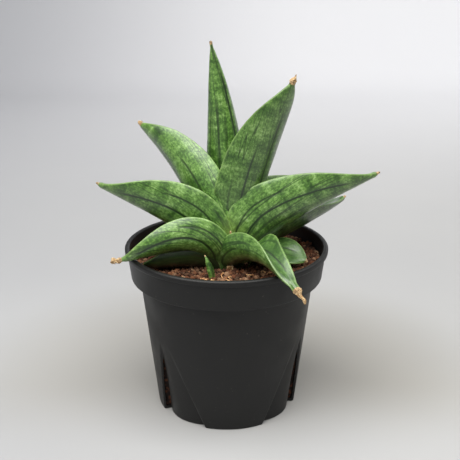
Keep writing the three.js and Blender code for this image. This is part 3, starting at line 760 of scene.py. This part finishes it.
def pot_profile():
    """(radius, height, pressed) round the whole section, from under the floor to inside it."""
    foot = POT_BASE_RADIUS - FOOT_EDGE - 0.3
    outside = [(r, 0, (r / foot) ** 2) for r in np.linspace(0, foot, 12)]
    outside += [(r, z, 1) for r, z in
                arc((POT_BASE_RADIUS - FOOT_EDGE, FOOT_EDGE), FOOT_EDGE, -90, -4, 5)]
    outside += [(wall_radius(z), z, 1)
                for z in np.linspace(FOOT_EDGE + 0.5, NECK_HEIGHT - 0.6, WALL_ROWS)]
    shoulder = [(NECK_RADIUS, NECK_HEIGHT - 0.4), (NECK_RADIUS + 0.4, NECK_HEIGHT)]
    shoulder += [(NECK_RADIUS + 2, NECK_HEIGHT + 0.1), (COLLAR_FOOT_RADIUS - 2, NECK_HEIGHT + 0.2)]
    shoulder += arc((COLLAR_FOOT_RADIUS - COLLAR_EDGE, COLLAR_FOOT_HEIGHT), COLLAR_EDGE, -90, -5, 6)
    collar_top = POT_HEIGHT - LIP_DEPTH
    collar = [(COLLAR_FOOT_RADIUS + (COLLAR_TOP_RADIUS - COLLAR_FOOT_RADIUS) * t,
               COLLAR_FOOT_HEIGHT + (collar_top - COLLAR_FOOT_HEIGHT) * t)
              for t in np.linspace(0.04, 1, 16)]
    lip = arc((LIP_RADIUS - 1.0, collar_top + 1.1), LIP_LOWER_EDGE, -80, 0, 4)
    lip += arc((LIP_RADIUS - LIP_UPPER_EDGE, POT_HEIGHT - LIP_UPPER_EDGE), LIP_UPPER_EDGE, 10, 90, 7)
    lip += arc((LIP_RADIUS - LIP_WIDTH + LIP_INNER_EDGE, POT_HEIGHT - LIP_INNER_EDGE),
               LIP_INNER_EDGE, 90, 180, 6)
    outside += [(r, z, 0) for r, z in shoulder + collar + lip]
    ledge = NECK_HEIGHT + POT_WALL
    inside = [(COLLAR_TOP_RADIUS - POT_WALL, collar_top),
              (COLLAR_FOOT_RADIUS - POT_WALL, ledge + LEDGE_RISE),
              (COLLAR_FOOT_RADIUS - POT_WALL - 1, ledge + 0.2 * LEDGE_RISE),
              (NECK_RADIUS - POT_WALL, ledge)]
    inside = [(r, z, 0) for r, z in inside]
    inside += [(wall_radius(z) - POT_WALL, z, 1)
               for z in np.linspace(NECK_HEIGHT - 1, POT_FLOOR, WALL_ROWS // 2)]
    inner_foot = wall_radius(POT_FLOOR) - POT_WALL
    inside += [(inner_foot * t, POT_FLOOR, t * t) for t in np.linspace(0.97, 0, 10)]
    return outside + inside


def smooth_line(points, steps):
    """A Catmull-Rom curve through the points."""
    pts = [np.array(p, float) for p in points]
    pts = [2 * pts[0] - pts[1]] + pts + [2 * pts[-1] - pts[-2]]
    line = []
    for a, b, c, d in zip(pts, pts[1:], pts[2:], pts[3:]):
        for t in np.linspace(0, 1, steps, endpoint=False):
            line.append(0.5 * (2 * b + (c - a) * t + (2 * a - 5 * b + 4 * c - d) * t * t
                               + (3 * b - a - 3 * c + d) * t**3))
    return [tuple(p) for p in line] + [tuple(pts[-2])]


def pot_mesh():
    """The pot's whole shell, with its bays pressed in and no slots yet."""
    profile = pot_profile()
    points = []
    for radius, height, pressed in profile[1:-1]:
        for turn in np.linspace(0, 360, POT_COLUMNS, endpoint=False):
            r = radius - (pressed * bay_press(turn, height) if pressed else 0.0)
            angle = math.radians(turn)
            points.append((r * math.cos(angle), r * math.sin(angle), height))
    return turned_mesh("pot_shell", points, POT_COLUMNS, profile[0][1], profile[-1][1])


def slot_cutter():
    """All the drain slots as one mesh of bent prisms, each along the edge of its bay.

    A prism goes down from inside the wall almost to the bay's floor, and past the step between
    them on both sides.
    """
    rows = 24
    past_step = 0.6
    above_floor = 0.2
    points, faces = [], []
    for angle, hand in all_bays():
        for toward, slot_top in ((1, SLOT_TOP), (-1, NOTCH_TOP)):
            middle = math.radians(angle)
            first = len(points)
            for i in range(rows + 1):
                height = SLOT_BOTTOM + (slot_top - SLOT_BOTTOM) * i / rows
                radius = wall_radius(height)
                edge = math.radians(bay_reach(height, toward))
                near = edge - (SLOT_OVERLAP + past_step) / radius
                far = edge + (POT_WALL + SLOT_OVERLAP) / radius
                top = radius - 0.9 * POT_WALL
                low = min(radius - 1.1 * POT_WALL,
                          radius - bay_depth(height, toward) + above_floor)
                corners = ((top, near), (top, far), (low, far), (low, near))
                for reach, turn in corners:
                    at = middle + hand * toward * turn
                    points.append((reach * math.cos(at), reach * math.sin(at), height))
            for i in range(rows):
                for j in range(4):
                    a, b = first + 4 * i + j, first + 4 * i + (j + 1) % 4
                    faces.append((a, b, b + 4, a + 4))
            faces.append(tuple(first + j for j in range(4)))
            faces.append(tuple(first + 4 * rows + j for j in range(4)))
    return mesh_from("slot_cutter", np.array(points), faces)


def make_pot():
    """The shell with its slots cut and with sharp creases where it bends sharply."""
    crease_angle = 38
    shell = bpy.data.objects.new("shell", pot_mesh())
    cutter = bpy.data.objects.new("cutter", slot_cutter())
    for item in (shell, cutter):
        bpy.context.scene.collection.objects.link(item)
    cut = shell.modifiers.new("slots", "BOOLEAN")
    cut.operation = "DIFFERENCE"
    cut.solver = "EXACT"
    cut.object = cutter
    bpy.context.view_layer.update()
    graph = bpy.context.evaluated_depsgraph_get()
    mesh = bpy.data.meshes.new_from_object(shell.evaluated_get(graph))
    mesh.name = "pot_cut"
    for item in (shell, cutter):
        bpy.data.objects.remove(item)
    mesh.shade_smooth()
    mesh.set_sharp_from_angle(angle=math.radians(crease_angle))
    piece("nursery_pot", mesh, pot_material(), ["pot"])


# ---------------------------------------------------------------- substrate

GRANULE_SPACING = 2.75
GRANULE_ROW = 0.866 * GRANULE_SPACING  # between the rows of a hexagonal pattern
GRANULE_JITTER = 0.45
GRANULE_SIZE = 1.65  # mean radius
GRANULE_SPREAD = 0.38
GRANULE_LIMITS = (0.9, 2.5)
GRANULE_SINK = 0.9  # how far the middle of one lies below the substrate's surface
GRANULE_DENTS = ((0.16, 1.4), (0.1, 3.1))  # share of the radius, and how close together
GRANULE_TOP = 1.6  # the most that one stands above the substrate's level
GRANULE_MARGIN = 1.0  # kept free inside the pot's wall
CROWN_MARGIN = 11  # kept free round the middle of the crown
BED_DROP = 1.5  # how far the bed's top lies below the substrate's level
BED_COLUMNS = 240
BED_WALL_ZONE = 44  # beyond this radius the bed follows the pot's wall
rng = np.random.default_rng(20261)


def inner_radius(height):
    """The inside of the pot at a height near the top."""
    share = (height - COLLAR_FOOT_HEIGHT) / (POT_HEIGHT - LIP_DEPTH - COLLAR_FOOT_HEIGHT)
    return COLLAR_FOOT_RADIUS - POT_WALL + COLLAR_TAPER * share


def relief(x, y):
    """The unevenness of the CAD substrate's top."""
    long = math.sin(x / 3.1 + 1.3) * math.cos(y / 3.7 - 0.6)
    short = math.sin(x / 1.7 - y / 2.3) * math.cos(x / 2.9 + y / 1.9)
    return 0.8 * (0.6 * long + 0.4 * short)


def granule_shape():
    """An icosphere's points and faces, to be squashed and dented for each granule."""
    work = bmesh.new()
    bmesh.ops.create_icosphere(work, subdivisions=2, radius=1)
    work.verts.ensure_lookup_table()
    points = np.array([v.co for v in work.verts])
    faces = [tuple(v.index for v in f.verts) for f in work.faces]
    work.free()
    return points, faces


def make_granules(material):
    """Loose granules over the whole top, in a jittered hexagonal pattern."""
    ball, ball_faces = granule_shape()
    limit = inner_radius(SUBSTRATE_TOP) - GRANULE_MARGIN
    points, faces, grain = [], [], []
    rows = int(2 * limit / GRANULE_ROW) + 2
    for row in range(rows):
        y0 = -limit + row * GRANULE_ROW
        shift = 0.5 * GRANULE_SPACING * (row % 2)
        for column in range(rows):
            x0 = -limit + column * GRANULE_SPACING + shift
            x = x0 + rng.normal(0, GRANULE_JITTER)
            y = y0 + rng.normal(0, GRANULE_JITTER)
            size = float(np.clip(rng.normal(GRANULE_SIZE, GRANULE_SPREAD), *GRANULE_LIMITS))
            squash = rng.uniform(0.62, 1.15, 3)
            spin = rng.normal(0, 1, (3, 3))
            lift = rng.uniform(-0.9, 0.5)
            tone = float(np.clip(rng.beta(2.2, 2.4), 0, 1))
            chalk = float(rng.random() ** 4)
            dents = rng.uniform(0, 50, 3)
            if math.hypot(x, y) > limit - 0.6 * size:
                continue
            if math.hypot(x - CROWN[0], y - CROWN[1]) < CROWN_MARGIN:
                continue
            turn, _ = np.linalg.qr(spin)
            rough = [sum(depth * noise.noise(Vector(p * rate + dents))
                         for depth, rate in GRANULE_DENTS) for p in ball]
            shape = ball * (1 + np.array(rough)[:, None]) * squash * size
            shape = shape @ turn.T
            z = SUBSTRATE_TOP + relief(x, y) - GRANULE_SINK + lift
            z = min(z, SUBSTRATE_TOP + GRANULE_TOP - shape[:, 2].max())
            first = len(points)
            points += (shape + np.array([x, y, z])).tolist()
            faces += [tuple(first + k for k in f) for f in ball_faces]
            grain += [(tone, chalk, 0)] * len(ball)
    mesh = mesh_from("granule_layer", np.array(points), faces, dict(grain=grain))
    piece("clay_granules", mesh, material, ["substrate"])


def make_bed(material):
    """The filled mass below the loose granules, out to the pot's wall all the way down."""
    gap = 0.35
    floor = POT_FLOOR + gap
    inset = POT_WALL + gap
    side = [(wall_radius(z) - inset, z) for z in np.linspace(floor, NECK_HEIGHT, 60)]
    ledge = NECK_HEIGHT + inset
    level = SUBSTRATE_TOP - BED_DROP
    side += [(NECK_RADIUS - inset, ledge),
             (COLLAR_FOOT_RADIUS - inset - 1, ledge + 0.2 * LEDGE_RISE),
             (COLLAR_FOOT_RADIUS - inset, ledge + LEDGE_RISE),
             (inner_radius(level) - gap, level)]
    edge = side[-1][0]
    top = [(edge * t, level) for t in np.linspace(0.97, 0.03, 34)]
    bottom = [(side[0][0] * t, floor) for t in np.linspace(0.05, 0.85, 6)]
    points = []
    for radius, height in bottom + side + top:
        for k in range(BED_COLUMNS):
            turn = 360 * k / BED_COLUMNS
            angle = math.radians(turn)
            press = bay_press(turn, height)
            x, y = math.cos(angle), math.sin(angle)
            lump = noise.noise(Vector((x * radius * 0.42, y * radius * 0.42, height * 0.42)))
            rise = 0.9 * lump if height > SUBSTRATE_TOP - 2 and radius < edge * 0.98 else 0.0
            inward = 0.45 * (1 + lump) if floor < height < NECK_HEIGHT else 0.0
            r = radius - press - inward if radius > BED_WALL_ZONE else radius
            points.append((r * x, r * y, height + rise))
    mesh = turned_mesh("substrate_bed", points, BED_COLUMNS, floor, level)
    piece("substrate_bed", mesh, material, ["substrate"])


# ---------------------------------------------------------------- small pieces


def tube_mesh(name, path, radii, seed, ridge, around, steps):
    """A closed, uneven tube along a curve through the points."""
    line = np.array(smooth_line(path, steps))
    width = np.interp(np.linspace(0, 1, len(line)), np.linspace(0, 1, len(radii)), radii)
    ahead = unit(np.gradient(line, axis=0))
    points, skin = [], []
    anywhere = [0.31, 0.52, 0.79]
    side = unit(np.cross(ahead[0], anywhere))
    run = 0.0
    for i, (centre, forward) in enumerate(zip(line, ahead)):
        side = unit(side - forward * np.dot(side, forward))
        other = np.cross(forward, side)
        if i:
            run += float(np.linalg.norm(line[i] - line[i - 1]))
        for k in range(around):
            turn = 2 * math.pi * k / around
            bump = smooth_noise(seed, 1.7 * math.cos(turn), 1.7 * math.sin(turn), 0.5 * run)
            reach = width[i] * (1 + 4 * ridge * bump)
            points.append(centre + (side * math.cos(turn) + other * math.sin(turn)) * reach)
            skin.append((turn * max(width[i], 0.3), run, 11 * seed))
    faces = ring_faces(len(line), around)
    faces.append(tuple(reversed(range(around))))
    faces.append(tuple((len(line) - 1) * around + j for j in range(around)))
    return mesh_from(name, np.array(points), faces, dict(skin=skin))


def make_dry_tip(leaf, length, radii, seed, wobble, material):
    """The withered end of a leaf: a crumpled stub that goes on from the tip of its blade."""
    lift = np.array([0, 0, SUBSTRATE_TOP])
    tip = np.array(leaf["tip"], float)
    ahead = unit(tip - np.array(leaf["bend"], float))
    shares = np.linspace(-0.25, 1, len(wobble))
    path = [tip + lift + ahead * length * t + np.array(w) for t, w in zip(shares, wobble)]
    mesh = tube_mesh(leaf["name"] + "_dry", path, radii, seed, 0.2, 20, 8)
    piece(leaf["name"] + "_dry_tip", mesh, material, ())


def make_rootlets(material):
    """Pale, wiry roots that show between the granules."""
    count = 9
    stride = 1.7
    sink = np.array([0, 0, 1.5])
    for k in range(count):
        angle = rng.uniform(-2.2, -0.5)
        radius = rng.uniform(34, 56)
        heading = rng.uniform(0, 2 * math.pi)
        place = np.array([radius * math.cos(angle), radius * math.sin(angle), SUBSTRATE_TOP + 0.6])
        path = [place]
        for step in range(5):
            heading += rng.normal(0, 0.8)
            rise = 0.9 * math.sin(1.3 * step) + rng.normal(0, 0.3)
            ahead = np.array([stride * math.cos(heading), stride * math.sin(heading), 0.3 * rise])
            path.append(path[-1] + ahead)
        path[0] = path[0] - sink
        path[-1] = path[-1] - sink
        mesh = tube_mesh("rootlet_mesh_%d" % k, path, [0.35, 0.45, 0.3, 0.2], k, 0.1, 8, 4)
        piece("rootlet_%d" % k, mesh, material, ())


# ---------------------------------------------------------------- stage, lights, camera, in metres

AIR_COLOUR = (0.93, 0.95, 1, 1)
AIR_STRENGTH = 0.2
FILM_WIDTH = 36  # millimetres, like the focal length
FOCAL_LENGTH = 62.6
CAMERA_PLACE = (0, -0.5205, 0.3059)
CAMERA_TILT = 71.04
CAMERA_TURN = -0.26


def make_stage():
    """A floor that curves up into a backdrop behind the plant."""
    front, back, wide, bend, tall = -1.6, 1.9, 3.2, 0.6, 2.6
    line = [(front, 0.0)]
    line += [(back - bend + bend * math.sin(t), bend - bend * math.cos(t))
             for t in np.linspace(0, math.pi / 2, 24)]
    line += [(back, tall)]
    points = [(x, y, z) for y, z in line for x in (-wide, wide)]
    faces = [(2 * i, 2 * i + 1, 2 * i + 3, 2 * i + 2) for i in range(len(line) - 1)]
    mesh = mesh_from("stage_sweep", np.array(points) / MM, faces)
    sweep = bpy.data.objects.new("stage_sweep", mesh)
    bpy.context.scene.collection.objects.link(sweep)
    mesh.materials.append(stage_material())


def add_area(name, place, target, size, power, colour):
    """A rectangular lamp that faces a target."""
    light = bpy.data.lights.new(name, "AREA")
    light.shape = "RECTANGLE"
    light.size, light.size_y = size
    light.energy = power
    light.color = colour
    lamp = bpy.data.objects.new(name, light)
    bpy.context.scene.collection.objects.link(lamp)
    lamp.location = place
    lamp.rotation_euler = (Vector(target) - Vector(place)).to_track_quat("-Z", "Y").to_euler()


def add_lights():
    middle = (0, 0, 0.12)
    add_area("softbox_top", (-0.14, -0.4, 1.25), middle, (1.6, 1.2), 37, (1, 0.99, 0.97))
    add_area("softbox_left", (-1.1, -0.7, 0.8), middle, (0.8, 0.8), 2, (1, 1, 1))
    add_area("wash_right", (1.3, 0.5, 1.2), (0.4, 1.5, 0.2), (1.2, 1.2), 10, (1, 1, 1))
    world = bpy.data.worlds.new("studio_air")
    world.use_nodes = True
    world.node_tree.nodes["Background"].inputs["Color"].default_value = AIR_COLOUR
    world.node_tree.nodes["Background"].inputs["Strength"].default_value = AIR_STRENGTH
    bpy.context.scene.world = world


def add_camera():
    lens = bpy.data.cameras.new("camera")
    lens.sensor_width = FILM_WIDTH
    lens.lens = FOCAL_LENGTH
    camera = bpy.data.objects.new("camera", lens)
    camera.location = CAMERA_PLACE
    camera.rotation_euler = (math.radians(CAMERA_TILT), 0, math.radians(CAMERA_TURN))
    bpy.context.scene.collection.objects.link(camera)
    bpy.context.scene.camera = camera


# ---------------------------------------------------------------- assembly

add_camera()
make_stage()
add_lights()
bpy.context.scene.view_settings.view_transform = "Standard"

# Painted shade: how much each leaf's green is deepened, where it is.
PAINTED_SHADES = dict(leaf_upper_right=0.3, leaf_front=0.3, leaf_low_right=0.45, leaf_low_left=0.95,
              leaf_lower_right=0.45, leaf_left=0.1, leaf_right=0.1)
CROWN_LEAVES = ("leaf_centre", "leaf_upper_left", "leaf_left", "leaf_right")
# Toward a blade's foot: the crown leaves' own pale green, and painted shade at the feet of the other,
# outer leaves.
PALE_FOOT = srgb(142, 168, 82)
PAINTED_SHADE_FOOT = srgb(22, 38, 14)
BY_NAME = {leaf["name"]: leaf for leaf in LEAVES}

dry = dry_material()
crown = (*CROWN, LEAF_FOOT)
for k, leaf in enumerate(LEAVES):
    foot = PALE_FOOT if leaf["name"] in CROWN_LEAVES else PAINTED_SHADE_FOOT
    leaf_skin = leaf_material(leaf["name"] + "_skin", PAINTED_SHADES.get(leaf["name"], 0.0), foot)
    piece(leaf["name"] + "_blade", blade_mesh(leaf, crown, k + 1), leaf_skin,
          [leaf["name"]])
leaf_skin = leaf_material("sprout_skin", 0.0, PALE_FOOT)
sprout = blade_mesh(SPROUT, (*SPROUT_PLACE, LEAF_FOOT), 12, SMALL_LEAF_ROWS)
piece("sprout_blade", sprout, leaf_skin, ["sprout"])
sheath = blade_mesh(SHEATH, crown, 13, SMALL_LEAF_ROWS)
piece("sheath_scrap", sheath, dry, ["dry_sheath"])
make_dry_tip(BY_NAME["leaf_front"], 7, [2.2, 2.3, 1.1, 0.8, 1.1, 0.6], 21,
             [(0, 0, 0), (0, 0, 0), (0.3, 0, -0.8), (1.0, 0.2, -1.2), (1.2, 0, -2.6)], dry)
make_dry_tip(BY_NAME["leaf_front_left"], 4.5, [1.5, 1.8, 1.1, 1.9, 0.8], 23,
             [(0, 0, 0), (0, 0, 0), (-0.4, 0, 0.7), (-0.6, 0, -0.4)], dry)
make_dry_tip(BY_NAME["leaf_upper_right"], 3, [2.0, 2.1, 1.4, 0.5, 0.2], 24,
             [(0, 0, 0), (0, 0, 0), (0.5, 0, 0.2), (0.9, 0, 1.2)], dry)
make_dry_tip(BY_NAME["leaf_upper_left"], 1.4, [1.6, 1.7, 1.1, 0.4], 25,
             [(0, 0, 0), (0, 0, 0), (-0.3, 0, 0.3)], dry)
make_pot()
make_rootlets(root_material())
make_granules(granule_material())
make_bed(bed_material())
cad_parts["rhizome"].data.materials.clear()
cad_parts["rhizome"].data.materials.append(rhizome_material())
